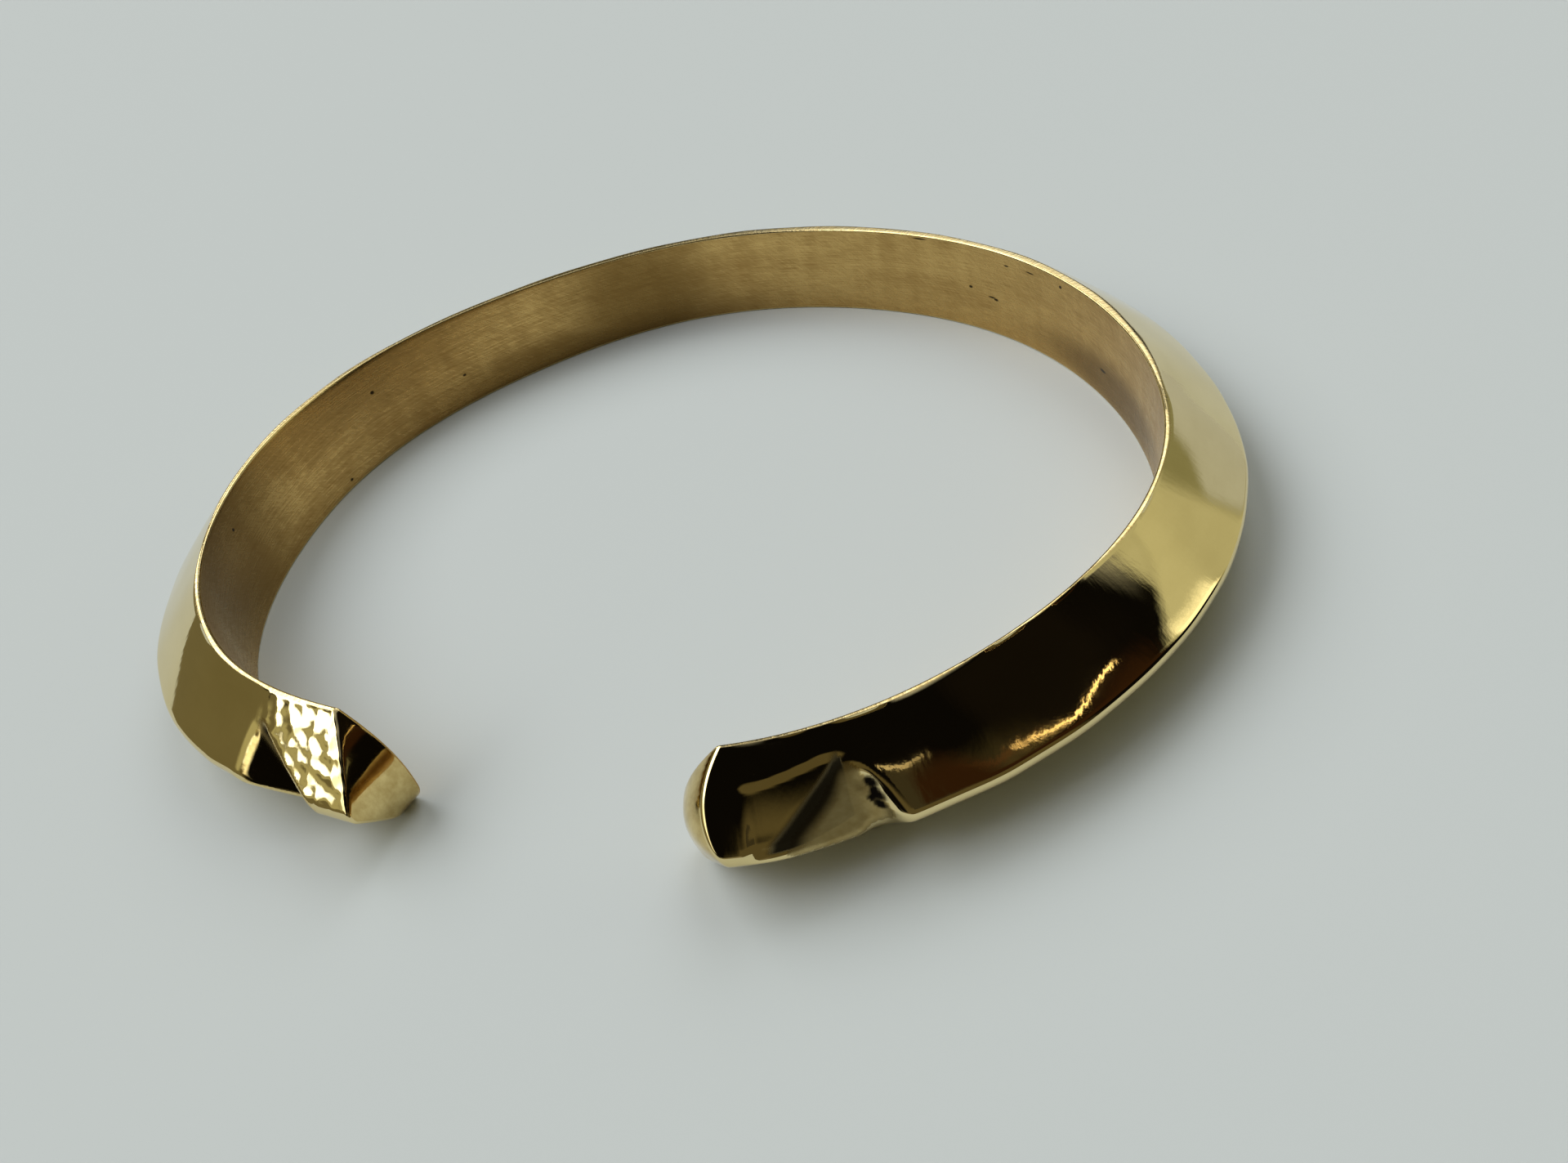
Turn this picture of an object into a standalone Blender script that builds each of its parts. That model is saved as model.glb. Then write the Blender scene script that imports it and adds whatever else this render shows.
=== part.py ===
"""Open cuff bangle in solid brass.

One three-cornered bar, flat on the wrist side and drawn out to a ridge on the outer side, is bent
to a slightly uneven oval with a gap at the front (-Y). It lies on its lower filed edge, with the
wrist axis along +Z. Near each tip a groove is filed across the ridge, and each tip is filed to a
tongue. The origin is the middle of the bounding box, on the surface that the bangle rests on.
"""

import math

import bpy
import bmesh
from mathutils import Matrix, Vector

MM = 0.001

# Bar section
BAND_WIDTH = 7.0 * MM
RIDGE_HEIGHT = 4.75 * MM
EDGE_WIDTH = 0.7 * MM
RIDGE_RADIUS = 0.5 * MM
RIDGE_STEPS = 6

# Oval of the inner face: its mean radius, and how the bent bar departs from a circle. Each row is
# (waves in a turn, cosine share, sine share), with angles counted from the middle of the gap.
MEAN_RADIUS = 28.5 * MM
BEND_WAVES = (
    (2, -0.055, -0.016),
    (3, -0.020, 0.004),
    (4, -0.004, 0.007),
    (5, -0.005, 0.005),
    (6, -0.003, 0.006),
)
BAR_STEPS = 108

# Angle of each tip's upper corner from the middle of the gap.
CORNER_ANGLE = math.radians(22.8)

# How many straight steps the tongue's outline and the groove's rounding have.
TONGUE_STEPS = 10
VALLEY_STEPS = 5

# The two ends are filed by hand and differ a little. Angles are in degrees, lengths in mm.
# side: the sign along X.
# reach, furthest: how far the tongue runs past its corner, and at what height.
# bevel: how far the end face leans back towards the ridge.
# valley, floor: where the groove's valley is at mid height, along the bar from the corner and
# outward from the inner face.
# lean, tilt: how far the valley leans away from the tip, and outward, on its way down.
# tip_wall, band_wall: the slopes of the groove's two walls. radius: the rounding between them.
ENDS = {
    "right": {
        "side": 1,
        "reach": 2.6,
        "furthest": 2.3,
        "bevel": 13,
        "valley": 5.5,
        "floor": 2.95,
        "lean": 9,
        "tilt": 26,
        "tip_wall": 20,
        "band_wall": 67,
        "radius": 1.1,
    },
    "left": {
        "side": -1,
        "reach": 2.6,
        "furthest": 1.3,
        "bevel": 3,
        "valley": 2.8,
        "floor": 2.4,
        "lean": -39,
        "tilt": 17,
        "tip_wall": 44,
        "band_wall": 44,
        "radius": 0.4,
    },
}

BAR_SPARE = 4.0 * MM
CUTTER_MARGIN = 2.0 * MM
TRAVEL_STEP = 0.05 * MM
UP = Vector((0.0, 0.0, 1.0))
BRASS_COLOUR = (0.80, 0.58, 0.24, 1.0)
BRASS_ROUGHNESS = 0.22


def clear_scene():
    for obj in list(bpy.data.objects):
        bpy.data.objects.remove(obj, do_unlink=True)


def new_collection(name):
    collection = bpy.data.collections.new(name)
    bpy.context.scene.collection.children.link(collection)
    return collection


def plan_frame(angle):
    """Point of the inner face's oval at this angle, and the directions along it and outward."""
    radius = MEAN_RADIUS
    slope = 0.0
    for waves, cosine, sine in BEND_WAVES:
        turn = waves * angle
        radius += MEAN_RADIUS * (cosine * math.cos(turn) + sine * math.sin(turn))
        slope += MEAN_RADIUS * waves * (sine * math.cos(turn) - cosine * math.sin(turn))
    ray = Vector((math.sin(angle), -math.cos(angle), 0.0))
    across = Vector((math.cos(angle), math.sin(angle), 0.0))
    along = (slope * ray + radius * across).normalized()
    outward = Vector((along.y, -along.x, 0.0))
    return radius * ray, along, outward


def travel(angle, distance):
    """Angle reached by moving this distance along the oval, positive the way angles grow."""
    steps = max(1, round(abs(distance) / TRAVEL_STEP))
    stride = distance / steps
    for _ in range(steps):
        point = plan_frame(angle)[0]
        angle += stride / point.length
    return angle


def corner_angle(side):
    return CORNER_ANGLE if side > 0 else math.tau - CORNER_ANGLE


def flat_curve(name, points, collection, closed=True):
    """A curve of straight runs through these (x, y) points."""
    curve = bpy.data.curves.new(name, "CURVE")
    curve.dimensions = "2D"
    spline = curve.splines.new("POLY")
    spline.points.add(len(points) - 1)
    for point, (x, y) in zip(spline.points, points):
        point.co = (x, y, 0.0, 1.0)
    spline.use_cyclic_u = closed
    obj = bpy.data.objects.new(name, curve)
    collection.objects.link(obj)
    return obj


def to_mesh(curve_obj, name, collection):
    """Turn a curve object into a closed mesh object in the same place."""
    bpy.context.view_layer.update()
    graph = bpy.context.evaluated_depsgraph_get()
    mesh = bpy.data.meshes.new_from_object(curve_obj.evaluated_get(graph))
    mesh.name = name
    body = bmesh.new()
    body.from_mesh(mesh)
    bmesh.ops.remove_doubles(body, verts=body.verts, dist=0.001 * MM)
    bmesh.ops.recalc_face_normals(body, faces=body.faces)
    body.to_mesh(mesh)
    body.free()
    obj = bpy.data.objects.new(name, mesh)
    obj.matrix_world = curve_obj.matrix_world
    collection.objects.link(obj)
    bpy.data.objects.remove(curve_obj, do_unlink=True)
    return obj


def section_points():
    """Half-round ridge joined by two straight slopes to the narrow edges: (outward, height)."""
    half = BAND_WIDTH / 2
    centre = RIDGE_HEIGHT - RIDGE_RADIUS
    edge = Vector((EDGE_WIDTH - centre, half))
    tangent = math.atan2(edge.y, edge.x) - math.acos(RIDGE_RADIUS / edge.length)
    points = [(0.0, -half), (EDGE_WIDTH, -half)]
    for step in range(RIDGE_STEPS + 1):
        turn = tangent * (2 * step / RIDGE_STEPS - 1)
        points.append((centre + RIDGE_RADIUS * math.cos(turn), RIDGE_RADIUS * math.sin(turn)))
    points += [(EDGE_WIDTH, half), (0.0, half)]
    return points


def make_band(parts, helpers):
    """Sweep the section along the oval, a little past the furthest point of each tongue."""
    first = travel(corner_angle(1), -BAR_SPARE)
    last = travel(corner_angle(-1), BAR_SPARE)
    path_points = []
    for step in range(BAR_STEPS + 1):
        angle = first + (last - first) * step / BAR_STEPS
        point = plan_frame(angle)[0]
        path_points.append((point.x, point.y))
    profile = flat_curve("section", section_points(), helpers)
    path = flat_curve("oval", path_points, helpers, closed=False)
    path.location.z = BAND_WIDTH / 2
    path.data.bevel_mode = "OBJECT"
    path.data.bevel_object = profile
    path.data.use_fill_caps = True
    band = to_mesh(path, "cuff_band", parts)
    bpy.data.objects.remove(profile, do_unlink=True)
    return band


def cutter_from_outline(name, points, depth, place, cutters):
    """A prism of this outline, standing half its depth to each side of its own plane."""
    outline = flat_curve(name, points, cutters)
    outline.data.fill_mode = "BOTH"
    outline.data.extrude = depth / 2
    outline.matrix_world = place
    cutter = to_mesh(outline, name, cutters)
    cutter.hide_render = True
    cutter.display_type = "WIRE"
    return cutter


def axes_matrix(x_axis, y_axis, origin):
    """Right-handed frame with these two square axes."""
    matrix = Matrix((x_axis, y_axis, x_axis.cross(y_axis))).transposed().to_4x4()
    matrix.translation = origin
    return matrix


def tongue_outline(reach, furthest):
    """What is filed away past the tongue: x runs past the tip's upper corner, y is the height."""
    top = BAND_WIDTH + CUTTER_MARGIN
    far = reach + BAR_SPARE
    points = [(far, top), (0.0, top)]
    for step in range(TONGUE_STEPS + 1):
        height = BAND_WIDTH * (1 - step / TONGUE_STEPS)
        share = (height - furthest) / (BAND_WIDTH - furthest)
        points.append((reach * (1 - share**2), height))
    points += [(points[-1][0], -CUTTER_MARGIN), (far, -CUTTER_MARGIN)]
    return points


def groove_outline(tip_wall, band_wall, radius):
    """The groove's section: x runs from its valley towards the band, y outward from its floor."""
    top = RIDGE_HEIGHT + CUTTER_MARGIN
    start = -math.pi / 2 - tip_wall
    points = []
    for step in range(VALLEY_STEPS + 1):
        turn = start + (tip_wall + band_wall) * step / VALLEY_STEPS
        points.append((radius * math.cos(turn), radius * (1 + math.sin(turn))))
    rise = top - points[-1][1]
    points.append((points[-1][0] + rise / math.tan(band_wall), top))
    rise = top - points[0][1]
    points.append((points[0][0] - rise / math.tan(tip_wall), top))
    return points


def make_tongue_cutter(name, end, cutters):
    """The cutter's prism runs out through the bar, leaning back from the tip by the bevel."""
    point, along, outward = plan_frame(corner_angle(end["side"]))
    past_tip = -end["side"] * along
    bevel = math.radians(end["bevel"])
    across = math.cos(bevel) * past_tip + math.sin(bevel) * outward
    place = axes_matrix(across, UP, point)
    depth = 3 * RIDGE_HEIGHT
    outline = tongue_outline(end["reach"] * MM, end["furthest"] * MM)
    return cutter_from_outline(name + "_tongue_cutter", outline, depth, place, cutters)


def make_groove_cutter(name, end, cutters):
    """The cutter's prism runs down across the ridge, along the leaning and tilted valley."""
    side = end["side"]
    angle = travel(corner_angle(side), side * end["valley"] * MM)
    point, along, outward = plan_frame(angle)
    lean = math.tan(math.radians(end["lean"]))
    tilt = math.tan(math.radians(end["tilt"]))
    valley = (UP - tilt * outward - lean * side * along).normalized()
    face = (outward - outward.dot(valley) * valley).normalized()
    towards_band = side * valley.cross(face)
    floor = point + end["floor"] * MM * outward + BAND_WIDTH / 2 * UP
    place = axes_matrix(towards_band, face, floor)
    depth = 2 * BAND_WIDTH
    walls = math.radians(end["tip_wall"]), math.radians(end["band_wall"])
    outline = groove_outline(*walls, end["radius"] * MM)
    return cutter_from_outline(name + "_groove_cutter", outline, depth, place, cutters)


def cut(body, cutter):
    modifier = body.modifiers.new(cutter.name, "BOOLEAN")
    modifier.operation = "DIFFERENCE"
    modifier.solver = "EXACT"
    modifier.object = cutter


def brass():
    material = bpy.data.materials.new("brass")
    material.use_nodes = True
    shader = material.node_tree.nodes["Principled BSDF"]
    shader.inputs["Base Color"].default_value = BRASS_COLOUR
    shader.inputs["Metallic"].default_value = 1.0
    shader.inputs["Roughness"].default_value = BRASS_ROUGHNESS
    return material


def centre_on_box(body, frame):
    """Move the shared parent so that the finished body's box is centred over the origin."""
    bpy.context.view_layer.update()
    finished = body.evaluated_get(bpy.context.evaluated_depsgraph_get())
    corners = [finished.matrix_world @ Vector(corner) for corner in finished.bound_box]
    for axis in (0, 1):
        values = [corner[axis] for corner in corners]
        frame.location[axis] = -(min(values) + max(values)) / 2
    frame.location.z = -min(corner.z for corner in corners)


def main():
    clear_scene()
    parts = new_collection("cuff_bangle")
    cutters = new_collection("cutters")
    frame = bpy.data.objects.new("bangle_frame", None)
    parts.objects.link(frame)

    band = make_band(parts, cutters)
    band.data.materials.append(brass())
    pieces = [band]
    for name, end in ENDS.items():
        for make_cutter in (make_groove_cutter, make_tongue_cutter):
            cutter = make_cutter(name, end, cutters)
            cut(band, cutter)
            pieces.append(cutter)
    for piece in pieces:
        piece.parent = frame
    band.data.shade_smooth()
    band.data.set_sharp_from_angle(angle=math.radians(25))
    centre_on_box(band, frame)


main()
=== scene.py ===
"""Looks of the open cuff bangle: the filed and polished brass bar, its floor, light and camera.

The bangle is one solid piece of brass, so one mesh stands for the CAD band. Its shape is worked out
in millimetres along the bent bar: distance along the inner face from the right tip's upper corner,
distance outward from the inner face, and height above the surface that the bangle rests on.
"""

import math

import bpy
import numpy as np
from mathutils import Matrix, Vector, geometry, noise


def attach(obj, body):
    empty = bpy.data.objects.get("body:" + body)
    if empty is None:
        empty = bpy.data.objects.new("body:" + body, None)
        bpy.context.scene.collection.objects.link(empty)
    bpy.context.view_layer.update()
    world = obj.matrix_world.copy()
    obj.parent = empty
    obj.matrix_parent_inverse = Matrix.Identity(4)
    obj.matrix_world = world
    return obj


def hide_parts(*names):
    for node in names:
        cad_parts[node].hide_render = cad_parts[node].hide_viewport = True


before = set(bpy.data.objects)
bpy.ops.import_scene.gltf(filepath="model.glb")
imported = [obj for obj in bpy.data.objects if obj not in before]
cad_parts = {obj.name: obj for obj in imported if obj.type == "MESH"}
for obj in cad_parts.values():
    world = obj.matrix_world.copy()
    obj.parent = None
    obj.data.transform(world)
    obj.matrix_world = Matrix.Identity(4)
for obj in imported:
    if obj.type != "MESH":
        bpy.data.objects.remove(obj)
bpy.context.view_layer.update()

MM = 0.001

# The oval of the inner face, as in the CAD: mean radius, and (waves in a turn, cosine, sine share).
MEAN_RADIUS = 28.5
BEND_WAVES = (
    (2, -0.055, -0.016),
    (3, -0.020, 0.004),
    (4, -0.004, 0.007),
    (5, -0.005, 0.005),
    (6, -0.003, 0.006),
)
# Angle of each tip's upper corner from the middle of the gap, and how far the tips run past it.
CORNER_ANGLE = math.radians(22.8)
PAST_CORNER = math.radians(8)
TABLE_LENGTH = 6001

# From the bent bar's own origin to the CAD's frame, whose origin is the middle of the CAD band's box.
CAD_SHIFT = np.array([-0.0018, -0.9445])

# The bar's section: full width, where its two slopes would meet, and the roundings.
WIDTH = 7.0
MID = WIDTH / 2
APEX = 5.02
RIDGE_ROUNDING = 0.5
EDGE_WIDTH = 0.7
INNER_ROUNDING = 0.14
OUTER_ROUNDING = 0.16
SLOPE_BULGE = 0.09
SLOPE_LENGTH = 5.35

# How many steps each part of the section's outline has.
SLOPE_STEPS = 30
RIDGE_STEPS = 12
INNER_STEPS = 26
EDGE_STEPS = 4
CORNER_STEPS = 4
FIRST_OUTER = CORNER_STEPS * 2 + EDGE_STEPS
LAST_OUTER = FIRST_OUTER + 2 * SLOPE_STEPS + RIDGE_STEPS

# Stations along the bar: close together up to FINE_LENGTH from each tip, then further and further.
FINE_STEP = 0.09
COARSE_STEP = 0.45
FINE_LENGTH = 8.0
STEP_GROWTH = 0.04
# Rounding of the end faces' rims, and how far from a tip the stations still lean to its end face.
END_ROUNDING = 0.14
END_STEPS = 4
SHEAR_LENGTH = 7.0
# Grid of points on an end face, and how far it stays from the rim.
CAP_GRID = 0.22
CAP_START = 0.1
CAP_DEPTH = 5.0
CAP_MARGIN = 0.08
CAP_MERGE = 1e-5

EDGE_PART, OUTER_PART, INNER_PART, TIP_PART = 0, 1, 2, 3


# ---------------------------------------------------------------- small maths
def ramp(value, start, end):
    """Smooth step from 0 at start to 1 at end."""
    share = np.clip((value - start) / (end - start), 0.0, 1.0)
    return share * share * (3 - 2 * share)


def soft_min(a, b, width):
    """The smaller of two surfaces, with the edge between them rounded over this width."""
    overlap = np.maximum(width - np.abs(a - b), 0.0)
    return np.minimum(a, b) - overlap**2 / (4 * width)


def smooth_between(pairs, value):
    """Smooth curve through these (value, height) pairs."""
    places, heights = np.array(pairs).T
    i = int(np.clip(np.searchsorted(places, value) - 1, 0, len(places) - 2))
    share = ramp(value, places[i], places[i + 1])
    return float(heights[i] + (heights[i + 1] - heights[i]) * share)


# ---------------------------------------------------------------- the bent bar
def plan(angle):
    """Points of the inner face's oval at these angles, and the outward directions there."""
    radius = np.full_like(angle, MEAN_RADIUS)
    slope = np.zeros_like(angle)
    for waves, cosine, sine in BEND_WAVES:
        turn = waves * angle
        radius += MEAN_RADIUS * (cosine * np.cos(turn) + sine * np.sin(turn))
        slope += MEAN_RADIUS * waves * (sine * np.cos(turn) - cosine * np.sin(turn))
    ray = np.stack([np.sin(angle), -np.cos(angle)], -1)
    across = np.stack([np.cos(angle), np.sin(angle)], -1)
    along = slope[..., None] * ray + radius[..., None] * across
    along /= np.linalg.norm(along, axis=-1, keepdims=True)
    outward = np.stack([along[..., 1], -along[..., 0]], -1)
    return radius[..., None] * ray, outward


def distance_table():
    """Angles round the oval and the distance along it, from the right corner, at each."""
    first = CORNER_ANGLE - PAST_CORNER
    angles = np.linspace(first, math.tau - first, TABLE_LENGTH)
    points = plan(angles)[0]
    steps = np.linalg.norm(np.diff(points, axis=0), axis=1)
    distances = np.concatenate([[0.0], np.cumsum(steps)])
    return angles, distances - np.interp(CORNER_ANGLE, angles, distances)


TABLE_ANGLES, TABLE_DISTANCES = distance_table()
LENGTH = float(np.interp(math.tau - CORNER_ANGLE, TABLE_ANGLES, TABLE_DISTANCES))


def bar_to_plan(distance, outward_by, height):
    """Places in space, in mm, of points given along, outward from and up the bar."""
    angle = np.interp(distance, TABLE_DISTANCES, TABLE_ANGLES)
    point, outward = plan(angle)
    flat = point + outward_by[..., None] * outward
    return np.concatenate([flat, height[..., None]], -1)


# The bar leans outward by this much for each mm up, between these shares of its length: it was bent
# with a slight twist at the left back.
TWIST = 0.23
TWIST_STARTS = (0.55, 0.74)
TWIST_ENDS = (0.78, 0.93)
TWIST_CENTRE = 2.8


def twist(distance):
    """How far the bar leans outward for each mm up."""
    share = distance / LENGTH
    return TWIST * ramp(share, *TWIST_STARTS) * (1 - ramp(share, *TWIST_ENDS))


# ---------------------------------------------------------------- the section
def corner_arc(before, corner, after, radius, steps):
    """Points of a rounded corner, from its first tangent point to its last."""
    to_before = (before - corner) / np.linalg.norm(before - corner)
    to_after = (after - corner) / np.linalg.norm(after - corner)
    half = math.acos(np.clip(to_before @ to_after, -1, 1)) / 2
    middle = (to_before + to_after) / np.linalg.norm(to_before + to_after)
    centre = corner + middle * radius / math.sin(half)
    first = corner + to_before * radius / math.tan(half) - centre
    last = corner + to_after * radius / math.tan(half) - centre
    turn = math.pi - 2 * half
    points = []
    for step in range(steps + 1):
        share = step / steps
        weights = math.sin((1 - share) * turn), math.sin(share * turn)
        points.append(centre + (weights[0] * first + weights[1] * last) / math.sin(turn))
    return points


def straight(start, end, steps):
    """Points between two ends, without the ends."""
    return [start + (end - start) * step / steps for step in range(1, steps)]


def section(shape):
    """The section's outline, as (outward, height) points."""
    corners = [
        np.array([0.0, 0.0]),
        np.array([shape["edge_low"], 0.0]),
        np.array([shape["apex"], MID]),
        np.array([shape["edge_up"], WIDTH]),
        np.array([0.0, WIDTH]),
    ]
    radii = [INNER_ROUNDING, shape["corner"], shape["ridge"], shape["corner"], INNER_ROUNDING]
    arc_steps = [CORNER_STEPS, CORNER_STEPS, RIDGE_STEPS, CORNER_STEPS, CORNER_STEPS]
    run_steps = [EDGE_STEPS, SLOPE_STEPS, SLOPE_STEPS, EDGE_STEPS, INNER_STEPS]
    arcs = []
    for i, corner in enumerate(corners):
        before, after = corners[i - 1], corners[(i + 1) % 5]
        arcs.append(corner_arc(before, corner, after, radii[i], arc_steps[i]))
    points = []
    for i, arc in enumerate(arcs):
        points += arc
        points += straight(arc[-1], arcs[(i + 1) % 5][0], run_steps[i])
    return np.array(points)


def section_parts():
    """Which part of the surface each of the outline's segments is."""
    edge = [EDGE_PART] * FIRST_OUTER
    outer = [OUTER_PART] * (LAST_OUTER - FIRST_OUTER)
    return np.array(edge + outer + edge + [INNER_PART] * INNER_STEPS)


# Where the slopes would meet, near each tip: (distance from the tip, how far outward). The ridge is
# worn down towards the tips, more so on the left.
RIGHT_APEX = ((0, 4.45), (3, 4.5), (8, 4.6), (12, 4.85), (18, APEX))
LEFT_APEX = ((0, 4.45), (2, 4.4), (6, 4.3), (8, 4.5), (12, 4.62), (20, 4.8), (30, APEX))

# Width of the upper filed edge, as (share of the bar from right tip to left tip, width).
UPPER_EDGE = ((0, 0.2), (0.2, 0.24), (0.3, 0.55), (0.5, 0.6), (0.7, 0.38), (0.85, 0.26), (1, 0.28))
# How uneven the two edges' widths are: (width, mm of bar for each radian, start).
UPPER_FLUTTER = ((0.05, 3.7, 0.0), (0.03, 1.3, 1.0))
LOWER_FLUTTER = ((0.04, 2.9, 2.0),)
LEFT_TIP_EXTRA_EDGE = 0.5
# How far from a tip its own shape fades out, and how much rounder the ridge is there.
TIP_FADE = (1.0, 4.0)
LEFT_TIP_FADE = (1.0, 5.0)
TIP_EXTRA_ROUNDING = 0.15
# The edges' outer corners: sharp at the right tip, and worn round at the right bend.
LEAST_ROUNDING = 0.1
ROUNDING_GROWTH = 0.2
BEND_STARTS = (0.16, 0.24)
BEND_ENDS = (0.27, 0.36)
BEND_EXTRA_ROUNDING = 0.3


def flutter(distance, waves):
    """The sum of these waves at a distance along the bar."""
    return sum(size * math.sin(distance / length + start) for size, length, start in waves)


def section_shape(distance):
    """How the section changes along the bar: its edges, ridge and roundings."""
    right, left = distance, LENGTH - distance
    share = distance / LENGTH
    bend = ramp(share, *BEND_STARTS) * (1 - ramp(share, *BEND_ENDS))
    tip = 1 - ramp(min(right, left), *TIP_FADE)
    left_tip = 1 - ramp(left, *LEFT_TIP_FADE)
    apex = min(smooth_between(RIGHT_APEX, right), smooth_between(LEFT_APEX, left))
    return {
        "edge_low": EDGE_WIDTH + flutter(distance, LOWER_FLUTTER) + LEFT_TIP_EXTRA_EDGE * left_tip,
        "edge_up": smooth_between(UPPER_EDGE, share) + flutter(distance, UPPER_FLUTTER) * (1 - tip),
        "apex": apex - twist(distance) * (MID - TWIST_CENTRE),
        "ridge": RIDGE_ROUNDING + TIP_EXTRA_ROUNDING * tip,
        "corner": min(OUTER_ROUNDING, LEAST_ROUNDING + ROUNDING_GROWTH * share) + BEND_EXTRA_ROUNDING * bend,
    }


# ---------------------------------------------------------------- the end faces
# Each tongue's outline on the inner face: height of its furthest point, reach, how square it is, and
# how far it falls back at its lower corner.
RIGHT_TONGUE = (2.3, 2.6, 2.0, 0.1)
LEFT_TONGUE = (1.3, 2.6, 2.4, 0.75)

# The right end face is a dome, rounder below these heights. The left one is slightly hollow.
RIGHT_DOME = 0.11
RIGHT_EXTRA_DOME = 0.08
RIGHT_DOME_HEIGHTS = (4.2, 1.5)
LEFT_HOLLOW = 0.25
LEFT_HOLLOW_WIDTH = 4.9


def tongue(height, furthest, reach, squareness, fall_back):
    """How far the tip runs past its upper corner on the inner face."""
    share = np.abs(height - furthest) / (WIDTH - furthest)
    below = np.clip((furthest - height) / furthest, 0.0, 1.0)
    return reach * (1 - share**squareness) - fall_back * below**2


def right_end(outward_by, height):
    """How far the right end face lies past the upper corner."""
    below = ramp(height, *RIGHT_DOME_HEIGHTS)
    return tongue(height, *RIGHT_TONGUE) - (RIGHT_DOME + RIGHT_EXTRA_DOME * below) * outward_by**2


def left_end(outward_by, height):
    """The same for the left end face, which is filed nearly straight across."""
    across = np.clip(outward_by, 0, LEFT_HOLLOW_WIDTH) * math.pi / LEFT_HOLLOW_WIDTH
    return tongue(height, *LEFT_TONGUE) - LEFT_HOLLOW * np.sin(across)


# ---------------------------------------------------------------- grooves and hand work
# Each groove: its lowest line's distance from the tip and its lean in degrees, its floor's distance
# from the inner face and its tilt in degrees, the slopes of its tip and band walls in degrees, and
# the radius between the walls.
RIGHT_GROOVE = {"valley": 5.5, "lean": 9, "floor": 2.95, "tilt": 26, "walls": (20, 67), "radius": 1.1}
LEFT_GROOVE = {"valley": 2.8, "lean": -39, "floor": 2.38, "tilt": 17, "walls": (37, 37), "radius": 0.4}
# Further from a tip than this, nothing is cut.
TIP_LENGTH = 14.0

# Rounding of each groove's rim, how much more it is on the band's side, and where that starts. The
# right groove's rim gets sharper between two heights.
RIGHT_RIM, RIGHT_BAND_RIM = 0.45, 0.85
RIGHT_BAND_SIDE = (5.0, 6.0)
RIGHT_RIM_HEIGHTS = (4.6, 5.9)
RIGHT_RIM_SHARPENING = 0.8
LEFT_RIM, LEFT_BAND_RIM = 0.18, 0.3
LEFT_BAND_SIDE = 0.8

# The shallow pocket beside the right groove, on the upper slope. Its top border slants.
POCKET_TOP = 0.24
POCKET_SLANT = 0.09
POCKET_SLANT_ENDS = 4.4
POCKET_SLANT_LENGTH = 2.9
POCKET_TIP = 0.55
POCKET_TOP_WALL = 0.42
POCKET_TIP_WALL = 0.85
POCKET_CORNER = 0.6
POCKET_DEPTH = 0.13
POCKET_TILT = 0.07
POCKET_HEIGHT = 2.5
POCKET_ENDS = (4.4, 6.0)
RIDGE_FADE = 0.3

# The slopes' slight waves: (height, mm of bar for each radian, mm up for each radian, start).
UNDULATION = ((0.020, 1.9, 3.1, 0.0), (0.014, 1.05, -1.7, 2.0), (0.008, 0.61, 0.9, 4.0))

# Small hollows left by planishing on the left tip's upper slope: size, depth and where they fade.
DIMPLE_LENGTH = 0.8
DIMPLE_HEIGHT = 0.45
DIMPLE_DEPTH = 0.11
DIMPLE_LEVEL = 0.3
DIMPLE_LAYER = 0.5
DIMPLE_REACH = 6.5
DIMPLE_ENDS = (4.4, 5.6)
DIMPLE_HEIGHTS = (MID + 0.1, MID + 0.5)


def rounded_vee(x, tip_wall, band_wall, radius):
    """A valley's height: its two walls' slopes, joined by an arc whose lowest point is 0."""
    tip_wall, band_wall = math.radians(tip_wall), math.radians(band_wall)
    first, last = -radius * math.sin(tip_wall), radius * math.sin(band_wall)
    arc = radius - np.sqrt(radius**2 - np.clip(x, first, last) ** 2)
    towards_tip = np.maximum(first - x, 0) * math.tan(tip_wall)
    towards_band = np.maximum(x - last, 0) * math.tan(band_wall)
    return arc + towards_tip + towards_band


def groove_valley(height, shape):
    """Distance of the groove's lowest line from the tip, at these heights."""
    return shape["valley"] - math.tan(math.radians(shape["lean"])) * (height - MID)


def groove(distance, height, shape):
    """The groove's surface: its distance outward from the inner face."""
    floor = shape["floor"] - math.tan(math.radians(shape["tilt"])) * (height - MID)
    across = distance - groove_valley(height, shape)
    return floor + rounded_vee(across, *shape["walls"], shape["radius"])


def pocket_depth(distance, height):
    """How deep the pocket beside the right groove is."""
    down_slope = (WIDTH - height) / MID
    slant = np.clip((POCKET_SLANT_ENDS - distance) / POCKET_SLANT_LENGTH, 0, 1)
    from_top = (down_slope - POCKET_TOP - POCKET_SLANT * slant) * SLOPE_LENGTH
    from_tip = distance - POCKET_TIP
    lift = POCKET_CORNER / 4
    inside = soft_min(from_top / POCKET_TOP_WALL + lift, from_tip / POCKET_TIP_WALL + lift, POCKET_CORNER)
    deep = POCKET_DEPTH + POCKET_TILT * np.clip(from_top, 0.0, POCKET_HEIGHT)
    return deep * ramp(inside, 0.0, 1.0) * (1 - ramp(distance, *POCKET_ENDS))


def cut_right(surface, distance, height):
    """The surface with the pocket and groove of the right tip."""
    upper = ramp(height, MID - RIDGE_FADE, MID + RIDGE_FADE)
    surface = surface - upper * pocket_depth(distance, height)
    rim = RIGHT_RIM + RIGHT_BAND_RIM * ramp(distance, *RIGHT_BAND_SIDE)
    rim = rim * (1 - RIGHT_RIM_SHARPENING * ramp(height, *RIGHT_RIM_HEIGHTS))
    cut = soft_min(surface, groove(distance, height, RIGHT_GROOVE), rim)
    return np.where(distance < TIP_LENGTH, cut, surface)


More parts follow.
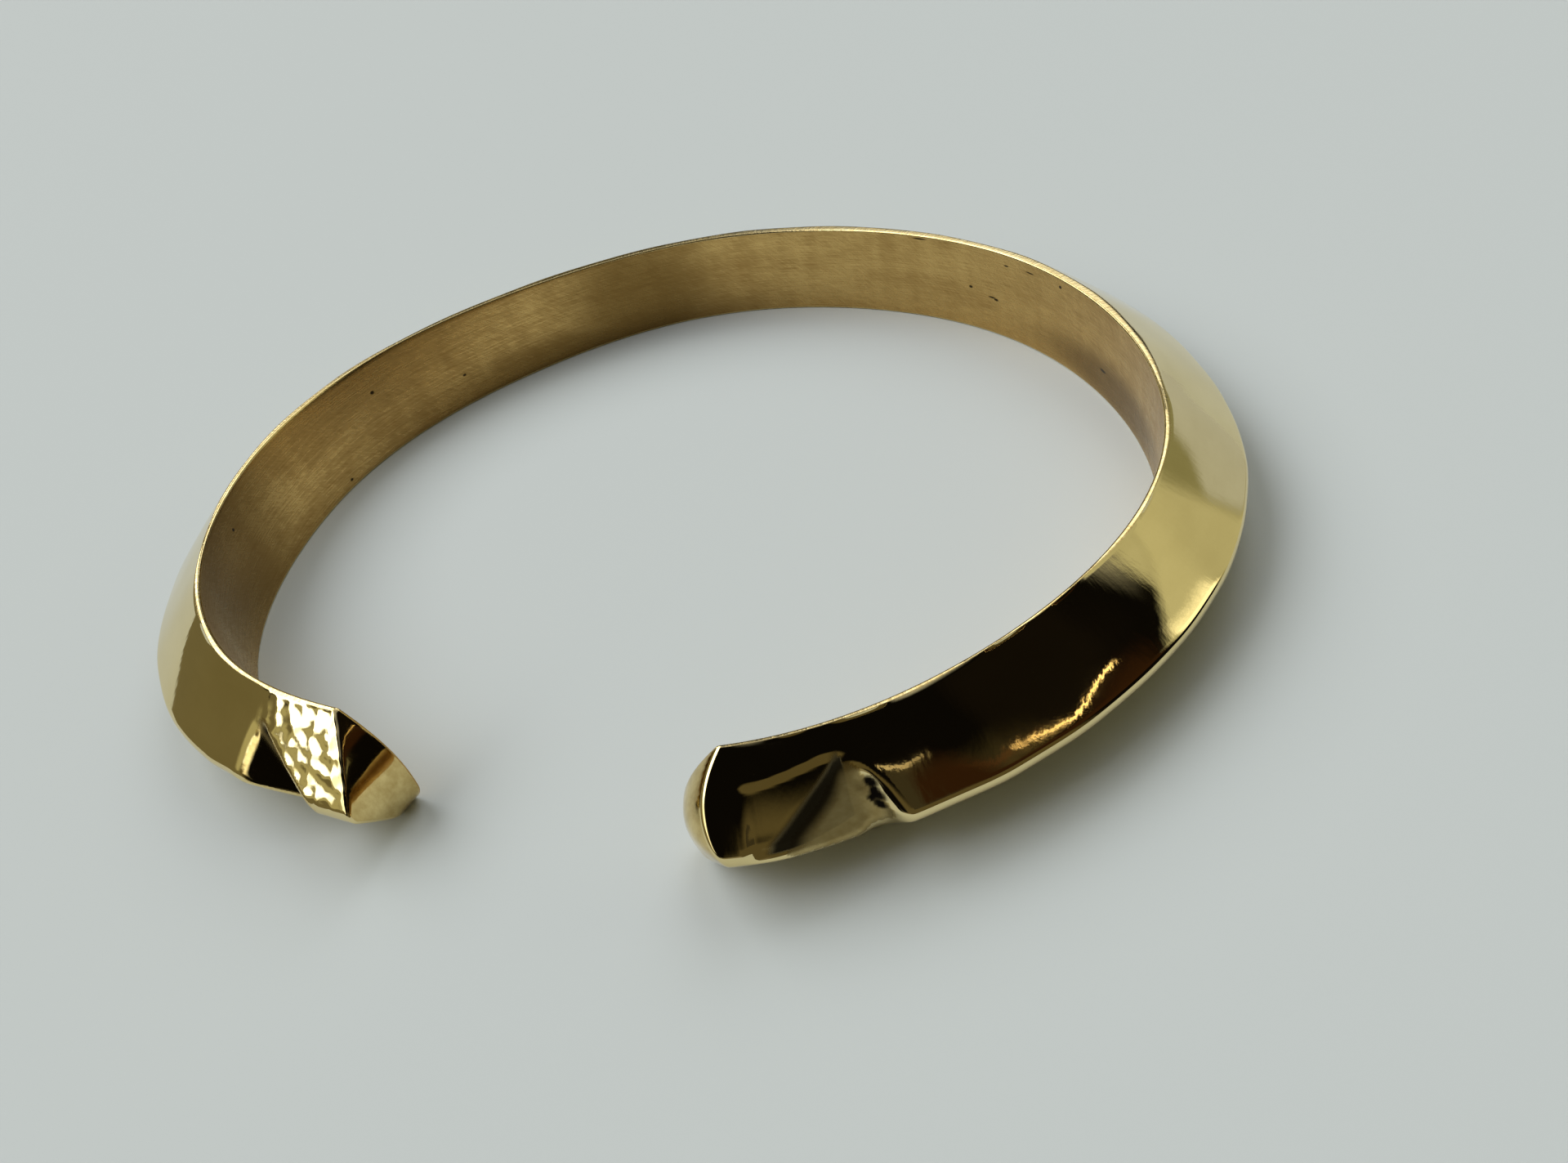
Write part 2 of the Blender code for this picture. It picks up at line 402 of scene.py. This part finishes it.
def cut_left(surface, distance, height):
    """The surface with the groove of the left tip."""
    valley = groove_valley(height, LEFT_GROOVE)
    rim = LEFT_RIM + LEFT_BAND_RIM * ramp(distance, valley, valley + LEFT_BAND_SIDE)
    cut = soft_min(surface, groove(distance, height, LEFT_GROOVE), rim)
    return np.where(distance < TIP_LENGTH, cut, surface)


def undulation(distance, height):
    """The slopes' slight waves, left by filing and polishing by hand."""
    waves = [size * np.sin(distance / along + height / up + start) for size, along, up, start in UNDULATION]
    return sum(waves)


def dimples(distance, height):
    """How deep the planished hollows are, at these distances from the left tip."""
    depth = np.zeros(distance.shape)
    active = (distance < DIMPLE_REACH) & (height > MID)
    for i in np.flatnonzero(active):
        place = Vector((distance[i] / DIMPLE_LENGTH, height[i] / DIMPLE_HEIGHT, DIMPLE_LAYER))
        depth[i] = DIMPLE_DEPTH * (noise.voronoi(place)[0][0] ** 2 - DIMPLE_LEVEL)
    return depth * ramp(height, *DIMPLE_HEIGHTS) * (1 - ramp(distance, *DIMPLE_ENDS))


def outer_surface(base, distance, height):
    """The finished outer surface over the plain section's outer points."""
    right, left = distance, LENGTH - distance
    surface = base + SLOPE_BULGE * np.sin(np.abs(height - MID) / MID * math.pi)
    surface = surface + undulation(distance, height)
    surface = surface + dimples(left, height)
    return cut_left(cut_right(surface, right, height), left, height)


# ---------------------------------------------------------------- rings along the bar
# A filed edge's points lie at most this far outward of the finished surface.
EDGE_CLEARANCE = 0.4
# Rounds in which a ring's distances and its surface, which depend on each other, settle.
SETTLING_ROUNDS = 3


def half_stations():
    """Distances of the stations from a tip to the middle of the bar."""
    stations = [0.0]
    while stations[-1] < LENGTH / 2:
        step = FINE_STEP + STEP_GROWTH * max(0.0, stations[-1] - FINE_LENGTH)
        stations.append(stations[-1] + min(step, COARSE_STEP))
    return np.array(stations[:-1])


def all_stations():
    """Every station, right tip to left tip, as (distance, how far its ring is drawn in)."""
    half = half_stations()
    plain = np.concatenate([half, LENGTH - half[::-1]])
    turns = [math.pi / 2 * step / END_STEPS for step in range(END_STEPS, 0, -1)]
    ends = [(END_ROUNDING * (1 - math.sin(t)), END_ROUNDING * (1 - math.cos(t))) for t in turns]
    stations = list(ends)
    stations += [(d, 0.0) for d in plain if END_ROUNDING < d < LENGTH - END_ROUNDING]
    stations += [(LENGTH - back, inset) for back, inset in reversed(ends)]
    return stations


def shear(nominal, outward_by, height):
    """Real distance of a station's points: near a tip the stations lean to its end face."""
    near_right = 1 - ramp(nominal, 0.0, SHEAR_LENGTH)
    near_left = 1 - ramp(LENGTH - nominal, 0.0, SHEAR_LENGTH)
    past_right = near_right * right_end(outward_by, height)
    past_left = near_left * left_end(outward_by, height)
    return nominal - past_right + past_left


def ring_normals(ring):
    """Directions out of each ring point, in the section's plane."""
    ahead = np.roll(ring, -1, axis=0) - np.roll(ring, 1, axis=0)
    normals = np.stack([ahead[:, 1], -ahead[:, 0]], -1)
    return normals / np.linalg.norm(normals, axis=1, keepdims=True)


def make_ring(nominal, inset):
    """One station's points, as (distance, outward, height)."""
    ring = section(section_shape(nominal))
    number = np.arange(len(ring))
    is_outer = (number >= FIRST_OUTER) & (number <= LAST_OUTER)
    outward_by, height = ring[:, 0].copy(), ring[:, 1]
    for _ in range(SETTLING_ROUNDS):
        distance = shear(nominal, outward_by, height)
        finished = outer_surface(ring[:, 0], distance, height)
        outward_by = np.where(is_outer, finished, np.minimum(ring[:, 0], finished + EDGE_CLEARANCE))
    if inset:
        profile = np.stack([outward_by, height], -1)
        profile = profile - inset * ring_normals(profile)
        outward_by, height = profile[:, 0], profile[:, 1]
        distance = shear(nominal, outward_by, height)
    leaning = outward_by + twist(nominal) * (height - TWIST_CENTRE)
    return np.stack([distance, leaning, height], -1)


# ---------------------------------------------------------------- where the brass is cut or black
# Points this close to a groove's surface are on its walls, and only this near to the tips.
WALL_TOLERANCE = 0.12
RIGHT_WALL_ENDS = 9.0
LEFT_WALL_ENDS = 7.0

# Black residue left in the right groove: (distance, height, radius), and its soft border.
RESIDUE = ((6.12, 4.86, 0.3), (6.2, 4.5, 0.22), (6.22, 4.3, 0.32), (6.0, 4.1, 0.2), (6.25, 3.85, 0.27))
RESIDUE_BORDER = (0.6, 1.25)

# Tarnish of the right groove's walls, partly a painted dark reflection, and a painted dark reflection along
# its rim on the tip's side.
WALL_TARNISH_AND_DARK_REFLECTION = 0.45
RIM_PAINTED_DARK_REFLECTION = 0.97
RIM_DEPTH = 0.16
RIM_BORDER = (0.08, 0.26)
RIM_ENDS = 5.2

# Painted shade: the black crease along the left groove.
CREASE_BORDER = (0.1, 0.55)
CREASE_STARTS = (2.5, 3.5)
CREASE_ENDS = (5.4, 6.2)
CREASE_REACH = 8.0

# Nearer to the inner face than this there is none of it.
CLEAN_DEPTH = 1.0


def wall_gap(distance, outward_by, height, shape):
    """How far outward a groove's surface is from these points."""
    return groove(distance, height, shape) - outward_by


def in_groove(ring, slopes):
    """Which points of a ring lie on a groove's walls."""
    distance, outward_by, height = ring.T
    left = LENGTH - distance
    cut_right_here = wall_gap(distance, outward_by, height, RIGHT_GROOVE) < WALL_TOLERANCE
    cut_left_here = wall_gap(left, outward_by, height, LEFT_GROOVE) < WALL_TOLERANCE
    right_wall = (distance < RIGHT_WALL_ENDS) & cut_right_here
    left_wall = (left < LEFT_WALL_ENDS) & cut_left_here
    return slopes & (right_wall | left_wall)


def grime_and_shade_at(points):
    """How black each point is: residue in the right groove, tarnish and a painted dark reflection on its
    walls and rim, and painted shade in the left one's crease.
    """
    distance, outward_by, height = points.T
    grime_and_shade = np.zeros(len(points))
    for at, up, radius in RESIDUE:
        gap = np.hypot(distance - at, height - up)
        start, end = RESIDUE_BORDER
        grime_and_shade = np.maximum(grime_and_shade, 1 - ramp(gap, start * radius, end * radius))
    gap = wall_gap(distance, outward_by, height, RIGHT_GROOVE)
    walls = (gap < WALL_TOLERANCE) & (distance < RIGHT_WALL_ENDS)
    # Tarnish on the groove's walls, partly a painted dark reflection.
    grime_and_shade = np.maximum(grime_and_shade, WALL_TARNISH_AND_DARK_REFLECTION * walls)
    # A painted dark reflection along the rim on the tip's side.
    rim = 1 - ramp(np.abs(gap - RIM_DEPTH), *RIM_BORDER)
    grime_and_shade = np.maximum(grime_and_shade, RIM_PAINTED_DARK_REFLECTION * rim * (distance < RIM_ENDS) * (height > MID))
    left = LENGTH - distance
    # Painted shade in the crease along the left groove.
    crease = 1 - ramp(np.abs(left - groove_valley(height, LEFT_GROOVE)), *CREASE_BORDER)
    crease *= ramp(height, *CREASE_STARTS) * (1 - ramp(height, *CREASE_ENDS)) * (left < CREASE_REACH)
    return np.maximum(grime_and_shade, crease) * (outward_by > CLEAN_DEPTH)


# ---------------------------------------------------------------- the mesh
def inside_polygon(x, z, polygon):
    """True if the point is inside the outline and further than CAP_MARGIN from its points."""
    a, b = polygon, np.roll(polygon, -1, axis=0)
    crossing = (a[:, 1] > z) != (b[:, 1] > z)
    rise = np.where(crossing, b[:, 1] - a[:, 1], 1.0)
    at = a[:, 0] + (z - a[:, 1]) * (b[:, 0] - a[:, 0]) / rise
    inside = np.count_nonzero(crossing & (x < at)) % 2 == 1
    return inside and np.min(np.hypot(polygon[:, 0] - x, polygon[:, 1] - z)) > CAP_MARGIN


def cap(ring, end, is_right):
    """Points that close a tip inside its last ring, their triangles, and what each point was."""
    outline = ring[:, 1:]
    border = [Vector(point) for point in outline]
    grid = []
    for x in np.arange(CAP_START, CAP_DEPTH, CAP_GRID):
        for z in np.arange(CAP_START, WIDTH, CAP_GRID):
            if inside_polygon(x, z, outline):
                grid.append(Vector((x, z)))
    edges = [(i, (i + 1) % len(border)) for i in range(len(border))]
    vertices, _, triangles, origins = geometry.delaunay_2d_cdt(border + grid, edges, [], 1, CAP_MERGE)[:4]
    flat = np.array([[v.x, v.y] for v in vertices])
    past = end(flat[:, 0], flat[:, 1])
    distance = -past if is_right else LENGTH + past
    return np.column_stack([distance, flat]), triangles, origins


def side_faces(rings):
    """Four-cornered faces between the rings, and the part that each belongs to."""
    count, around = rings.shape[:2]
    ring_parts = section_parts()
    slopes = ring_parts == OUTER_PART
    faces, parts = [], []
    for station in range(count - 1):
        a, b = station * around, (station + 1) * around
        for i in range(around):
            j = (i + 1) % around
            faces.append((a + i, a + j, b + j, b + i))
        parts += list(np.where(in_groove(rings[station], slopes), TIP_PART, ring_parts))
    return faces, parts


def end_faces(ring, end, is_right, first, total):
    """New points and triangles of an end face: its rim's points start at first, new ones at total."""
    cap_points, triangles, origins = cap(ring, end, is_right)
    index, fresh = [], []
    for point, origin in zip(cap_points, origins):
        on_rim = [o for o in origin if o < len(ring)]
        if on_rim:
            index.append(first + on_rim[0])
        else:
            index.append(total + len(fresh))
            fresh.append(point)
    faces = []
    for triangle in triangles:
        corners = [index[v] for v in triangle]
        faces.append(tuple(reversed(corners) if is_right else corners))
    return np.array(fresh), faces


def build_band():
    """The whole bar's points in bar coordinates, its faces, and the part each face belongs to."""
    rings = np.array([make_ring(nominal, inset) for nominal, inset in all_stations()])
    faces, parts = side_faces(rings)
    points = rings.reshape(-1, 3)
    last = len(points) - rings.shape[1]
    for ring, end, is_right, first in ((rings[0], right_end, True, 0), (rings[-1], left_end, False, last)):
        fresh, triangles = end_faces(ring, end, is_right, first, len(points))
        points = np.concatenate([points, fresh])
        faces += triangles
        parts += [TIP_PART] * len(triangles)
    return points, faces, parts


def smooth_mesh(name, places, faces):
    mesh = bpy.data.meshes.new(name)
    mesh.from_pydata([tuple(p) for p in places], [], faces)
    mesh.validate()
    mesh.update()
    mesh.shade_smooth()
    return mesh


def make_band():
    """The bangle's one piece, which rides on the only body and stands for the CAD band."""
    points, faces, parts = build_band()
    places = bar_to_plan(points[:, 0], points[:, 1], points[:, 2])
    places[:, :2] += CAD_SHIFT
    mesh = smooth_mesh("band", places * MM, faces)
    bar = mesh.attributes.new("bar", "FLOAT_VECTOR", "POINT")
    bar.data.foreach_set("vector", points.astype(np.float32).ravel())
    # Residue and tarnish, with painted shade and painted dark reflections in the grooves, ride on the mesh
    # as one mask.
    grime_and_shade = mesh.attributes.new("grime_and_shade", "FLOAT", "POINT")
    grime_and_shade.data.foreach_set("value", grime_and_shade_at(points).astype(np.float32))
    mesh.polygons.foreach_set("material_index", np.array(parts, np.int32))
    band = bpy.data.objects.new("brass_band", mesh)
    bpy.context.scene.collection.objects.link(band)
    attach(band, "root")
    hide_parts("cuff_band")
    return band


# ---------------------------------------------------------------- materials
# Colour of residue and tarnish, also used for the painted shade and dark reflections in the grooves.
GRIME_AND_SHADE = (0.008, 0.006, 0.004)
GRIME_AND_SHADE_ROUGHNESS = 0.5
SCRATCH_SLANT = math.radians(38)
TONE_SPREAD = 0.26
CLOUD_DETAIL = 4.0
MARK_DETAIL = 3.0


class Graph:
    """Short calls for adding shader nodes to one node tree."""

    def __init__(self, tree):
        self.tree = tree

    def fill(self, socket, value):
        """Links a socket to another one, or sets its constant."""
        if isinstance(value, bpy.types.NodeSocket):
            self.tree.links.new(value, socket)
        else:
            socket.default_value = value

    def add(self, kind, inputs, **settings):
        """A new node: inputs maps a socket's name or number to a value or to another socket."""
        node = self.tree.nodes.new("ShaderNode" + kind)
        for name, value in settings.items():
            setattr(node, name, value)
        for name, value in inputs.items():
            self.fill(node.inputs[name], value)
        return node.outputs

    def math(self, operation, *values):
        return self.add("Math", dict(enumerate(values)), operation=operation)[0]

    def vector(self, operation, *values):
        return self.add("VectorMath", dict(enumerate(values)), operation=operation)

    def fade(self, value, start, end, low=0.0, high=1.0):
        """Smooth change from low at start to high at end."""
        inputs = {"Value": value, "From Min": start, "From Max": end, "To Min": low, "To Max": high}
        return self.add("MapRange", inputs, interpolation_type="SMOOTHSTEP")["Result"]

    def noise(self, place, stretch, detail):
        """Noise in waves per mm along, outward from and up the bar."""
        inputs = {"Vector": self.vector("MULTIPLY", place, stretch)[0], "Scale": 1.0, "Detail": detail}
        return self.add("TexNoise", inputs)["Fac"]

    def blend(self, share, first, second):
        """Mix of two colours, each a socket or three numbers."""
        node = self.tree.nodes.new("ShaderNodeMix")
        node.data_type = "RGBA"
        sockets = {socket.name: socket for socket in node.inputs if socket.enabled}
        self.fill(sockets["Factor"], share)
        for name, colour in (("A", first), ("B", second)):
            is_socket = isinstance(colour, bpy.types.NodeSocket)
            self.fill(sockets[name], colour if is_socket else (*colour, 1.0))
        return [output for output in node.outputs if output.enabled][0]


def new_material(name):
    """A material, its nodes and its shader."""
    material = bpy.data.materials.new(name)
    material.use_nodes = True
    return material, Graph(material.node_tree), material.node_tree.nodes["Principled BSDF"]


def brass(name, light, dark, roughness, strokes, scratches, dents, clouds):
    """Brass of two tones, with strokes along the bar, slanted scratches, dents and clouds of tarnish.

    strokes, scratches and dents: (waves per mm along, outward and up), depth in mm, share of the tone.
    """
    material, graph, shader = new_material(name)
    place = graph.add("Attribute", {}, attribute_name="bar")["Vector"]
    grime_and_shade = graph.add("Attribute", {}, attribute_name="grime_and_shade")["Fac"]
    turned = {"Vector": place, "Angle": SCRATCH_SLANT}
    slanted = graph.add("VectorRotate", turned, rotation_type="Y_AXIS")[0]
    tone = graph.math("MULTIPLY", graph.noise(place, clouds[0], CLOUD_DETAIL), clouds[1])
    height = 0.0
    for where, (waves, depth, share) in ((place, strokes), (slanted, scratches), (place, dents)):
        pattern = graph.noise(where, waves, MARK_DETAIL)
        tone = graph.math("ADD", tone, graph.math("MULTIPLY", pattern, share))
        height = graph.math("ADD", height, graph.math("MULTIPLY", pattern, depth * MM))
    middle = 0.5 * (clouds[1] + strokes[2] + scratches[2] + dents[2])
    tone = graph.fade(tone, middle - TONE_SPREAD, middle + TONE_SPREAD)
    worn = graph.fade(tone, 0.0, 1.0, *roughness)
    bump = graph.add("Bump", {"Height": height, "Strength": 1.0, "Distance": 1.0})["Normal"]
    # The colour goes dark where residue and tarnish are, and where shade and dark reflections are painted in
    # the grooves.
    graph.fill(shader.inputs["Base Color"], graph.blend(grime_and_shade, graph.blend(tone, light, dark), GRIME_AND_SHADE))
    rough = graph.math("ADD", worn, graph.math("MULTIPLY", grime_and_shade, GRIME_AND_SHADE_ROUGHNESS))
    graph.fill(shader.inputs["Roughness"], rough)
    graph.fill(shader.inputs["Normal"], bump)
    graph.fill(shader.inputs["Metallic"], 1.0)
    return material


# Marks on the inner face: (distance, height, half length, half height) in mm. Small casting pits:
PITS = (
    (62.6, 3.52, 0.16, 0.11),
    (53.3, 6.33, 0.14, 0.11),
    (60.6, 3.1, 0.34, 0.07),
    (60.2, 3.0, 0.2, 0.1),
    (67.0, 6.72, 0.55, 0.06),
    (59.0, 6.1, 0.22, 0.06),
    (56.6, 6.25, 0.4, 0.05),
    (48.0, 2.2, 0.35, 0.1),
    (115.4, 4.8, 0.17, 0.13),
    (132.8, 5.33, 0.13, 0.11),
    (108.0, 2.4, 0.15, 0.09),
    (121.0, 0.6, 0.16, 0.1),
    (27.0, 4.4, 0.15, 0.1),
)
PIT_COLOUR = (0.02, 0.014, 0.008)
PIT_BORDER = 0.35
PIT_STRENGTH = 0.95
# Wide darker patches:
DARKER_PATCHES = (
    (92.0, 2.6, 6.0, 6.0),
    (100.0, 0.4, 14.0, 2.2),
    (135.0, 4.5, 7.0, 4.5),
    (46.0, 1.5, 9.0, 1.6),
)
DARKER_PATCH_COLOUR = (0.20, 0.115, 0.03)
DARKER_PATCH_BORDER = 0.6
DARKER_PATCH_STRENGTH = 0.85


def inside_marks(graph, place, marks, border):
    """How much each point is inside any of the marks."""
    total = 0.0
    for distance, height, long, tall in marks:
        offset = graph.vector("SUBTRACT", place, (distance, 0.0, height))[0]
        share = graph.vector("MULTIPLY", offset, (1 / long, 0.0, 1 / tall))[0]
        reach = graph.vector("LENGTH", share)["Value"]
        total = graph.math("MAXIMUM", total, graph.fade(reach, 1 - border, 1 + border, 1.0, 0.0))
    return total


def darken(material, marks, border, colour, strength):
    """Paints marks over a material's colour."""
    graph = Graph(material.node_tree)
    base = material.node_tree.nodes["Principled BSDF"].inputs["Base Color"]
    place = graph.add("Attribute", {}, attribute_name="bar")["Vector"]
    share = graph.math("MULTIPLY", inside_marks(graph, place, marks, border), strength)
    graph.fill(base, graph.blend(share, base.links[0].from_socket, colour))


def finish_band(band):
    """The four finishes, in the order of the mesh's material numbers."""
    edge = brass(
        "filed_edge", (0.86, 0.70, 0.36), (0.55, 0.40, 0.15), (0.12, 0.3),
        strokes=((0.5, 4, 4), 0.003, 0.3), scratches=((3, 1.6, 9), 0.009, 0.5),
        dents=((2.2, 2.2, 2.2), 0.012, 0.2), clouds=((0.2, 0.4, 0.4), 0.4),
    )
    outer = brass(
        "polished", (0.85, 0.70, 0.36), (0.74, 0.60, 0.29), (0.022, 0.05),
        strokes=((0.4, 5, 5), 0.00012, 0.05), scratches=((9, 9, 0.8), 0.00015, 0.06),
        dents=((3.4, 1.2, 1.2), 0.0022, 0.05), clouds=((0.25, 0.4, 0.5), 0.6),
    )
    inner = brass(
        "satin", (0.72, 0.49, 0.18), (0.38, 0.225, 0.068), (0.22, 0.38),
        strokes=((0.5, 14, 14), 0.004, 0.45), scratches=((0.9, 9, 9), 0.002, 0.3),
        dents=((0.7, 0.7, 0.08), 0.008, 0.22), clouds=((0.1, 0.3, 0.4), 0.35),
    )
    tip = brass(
        "filed_tip", (0.80, 0.63, 0.28), (0.52, 0.37, 0.13), (0.04, 0.09),
        strokes=((1, 6, 6), 0.0006, 0.15), scratches=((5, 5, 0.8), 0.0006, 0.2),
        dents=((2, 2, 2), 0.0015, 0.3), clouds=((0.9, 0.9, 0.9), 0.5),
    )
    # The inner face is darker in wide patches, some low along its bottom.
    darken(inner, DARKER_PATCHES, DARKER_PATCH_BORDER, DARKER_PATCH_COLOUR, DARKER_PATCH_STRENGTH)
    darken(inner, PITS, PIT_BORDER, PIT_COLOUR, PIT_STRENGTH)
    for material in (edge, outer, inner, tip):
        band.data.materials.append(material)


# ---------------------------------------------------------------- floor and light
FLOOR_RADIUS = 3.0
FLOOR_COLOUR = (0.60, 0.63, 0.615, 1.0)


def make_floor():
    bpy.ops.mesh.primitive_circle_add(vertices=96, radius=FLOOR_RADIUS, fill_type="NGON")
    floor = bpy.context.object
    floor.name = "floor"
    material, graph, shader = new_material("floor")
    graph.fill(shader.inputs["Base Color"], FLOOR_COLOUR)
    graph.fill(shader.inputs["Roughness"], 0.9)
    graph.fill(shader.inputs["Specular IOR Level"], 0.2)
    floor.data.materials.append(material)


# Light by direction, painted from first to last. Each patch: middle azimuth (from the front, -Y,
# positive towards +X), half width and softness; middle elevation, half height and softness; how far
# it sinks for each degree of azimuth; and its light. Angles are in degrees.
PATCHES = (
    ((0, 181, 1), (85, 18, 10), 0.0, (0.45, 0.46, 0.47)),  # overhead
    ((-190, 30, 7), (48, 20, 9), 0.0, (2.3, 2.37, 2.4)),  # window behind
    ((140, 26, 6), (50, 13, 4), 0.0, (0.95, 0.95, 0.85)),  # light wall, right
    ((137, 22, 2), (17, 23, 3), 0.0, (0.27, 0.27, 0.16)),  # shaded wall, right
    ((124, 10.5, 1.5), (44, 14, 3), 0.0, (0.56, 0.56, 0.40)),  # its lit side
    ((118, 15, 2), (26, 5, 1.5), 0.0, (0.62, 0.62, 0.44)),  # and a paler ledge on it
    ((126, 8, 3), (8, 16, 3), 0.0, (0.54, 0.54, 0.38)),  # its lower part
    ((112, 6, 1.5), (22, 4.5, 1.5), 0.7, (1.7, 1.65, 1.3)),  # a bright corner beside it
    ((160, 25, 2), (-1, 5.5, 1), 0.42, (0.5, 0.53, 0.53)),  # pale cloth up to the horizon, right
    ((-88, 49, 5), (46, 19.5, 2.0), 0.0, (3.3, 3.4, 3.5)),  # window, left
    ((-42, 13, 5), (27, 12, 3), 0.0, (1.8, 1.8, 1.6)),  # its bright reveal
    ((-95, 60, 4), (11, 12.5, 1.2), 0.0, (0.17, 0.15, 0.08)),  # shaded wall under the window
    ((-60, 12, 4), (22, 3.5, 2), 0.0, (0.46, 0.44, 0.26)),  # its sill
    ((-115, 34, 1.5), (-5, 6, 1), 0.4, (0.5, 0.5, 0.40)),  # pale cloth up to the horizon, left
    ((41, 37, 6), (20, 24, 4), 0.0, (0.10, 0.082, 0.04)),  # dim front
    ((0, 14, 5), (3, 7, 4), 0.0, (0.25, 0.23, 0.17)),  # its lighter middle
    ((90, 14, 4), (45, 8, 3), 0.0, (0.007, 0.0055, 0.004)),  # dark side
    ((47.5, 4.5, 0.5), (44.5, 5, 0.6), 0.2, (0.045, 0.038, 0.022)),  # brown panel in it
    ((47.5, 4.8, 0.8), (49.8, 0.25, 0.15), 0.25, (0.7, 0.58, 0.36)),  # the panel's bright top edge
    ((64, 13, 1), (44.5, 0.25, 0.2), 0.07, (0.10, 0.05, 0.022)),  # faint line beyond it
    ((76, 26, 2), (37.5, 4, 2), 0.25, (0.03, 0.013, 0.005)),  # red-brown glow
    ((87, 11.5, 1.5), (40.2, 0.14, 0.1), 0.295, (3.0, 2.2, 1.1)),  # thin bright gap over the glow
)
BASE_LIGHT = (0.0035, 0.003, 0.0025)
BACKDROP = (0.50, 0.52, 0.515)
DEGREES = 180 / math.pi


def patch_share(graph, azimuth, elevation, across, up, sink):
    """How much a direction lies in a patch."""
    middle_azimuth, half_width, soft_width = across
    middle_elevation, half_height, soft_height = up
    aside = graph.math("WRAP", graph.math("SUBTRACT", azimuth, middle_azimuth), 180.0, -180.0)
    level = graph.math("ADD", elevation, graph.math("MULTIPLY", aside, sink))
    above = graph.math("ABSOLUTE", graph.math("SUBTRACT", level, middle_elevation))
    beside = graph.math("ABSOLUTE", aside)
    wide = graph.fade(beside, half_width - soft_width, half_width + soft_width, 1.0, 0.0)
    tall = graph.fade(above, half_height - soft_height, half_height + soft_height, 1.0, 0.0)
    return graph.math("MULTIPLY", wide, tall)


def make_world():
    """Soft studio light from windows at the left and back, dark at the camera's side."""
    world = bpy.data.worlds.new("studio")
    bpy.context.scene.world = world
    world.use_nodes = True
    graph = Graph(world.node_tree)
    x, y, z = graph.add("SeparateXYZ", {0: graph.add("TexCoord", {})["Generated"]})[:3]
    elevation = graph.math("MULTIPLY", graph.math("ARCSINE", z), DEGREES)
    turn = graph.math("ARCTAN2", x, graph.math("MULTIPLY", y, -1.0))
    azimuth = graph.math("MULTIPLY", turn, DEGREES)
    light = BASE_LIGHT
    for across, up, sink, colour in PATCHES:
        light = graph.blend(patch_share(graph, azimuth, elevation, across, up, sink), light, colour)
    seen = graph.add("LightPath", {})["Is Camera Ray"]
    background = world.node_tree.nodes["Background"]
    graph.fill(background.inputs["Color"], graph.blend(seen, light, BACKDROP))


# ---------------------------------------------------------------- camera
# The camera looks down at a point of the floor in front of the bangle's middle.
TARGET = Vector((7.891, -7.645, 0.0)) * MM
DISTANCE = 71.3 * MM
CAMERA_AZIMUTH = 23.0
CAMERA_ELEVATION = 40.65
CAMERA_ROLL = -13.39
LENS = 26.26


def make_camera():
    camera = bpy.data.objects.new("camera", bpy.data.cameras.new("camera"))
    bpy.context.scene.collection.objects.link(camera)
    turn = Matrix.Rotation(math.radians(CAMERA_AZIMUTH), 4, "Z")
    tip = Matrix.Rotation(math.radians(90 - CAMERA_ELEVATION), 4, "X")
    roll = Matrix.Rotation(math.radians(CAMERA_ROLL), 4, "Z")
    back_off = Matrix.Translation((0, 0, DISTANCE))
    camera.matrix_world = Matrix.Translation(TARGET) @ turn @ tip @ roll @ back_off
    camera.data.sensor_width = 36.0
    camera.data.lens = LENS
    camera.data.clip_start = 0.001
    camera.data.clip_end = 20.0
    bpy.context.scene.camera = camera


finish_band(make_band())
make_floor()
make_world()
make_camera()
bpy.context.scene.view_settings.view_transform = "Standard"
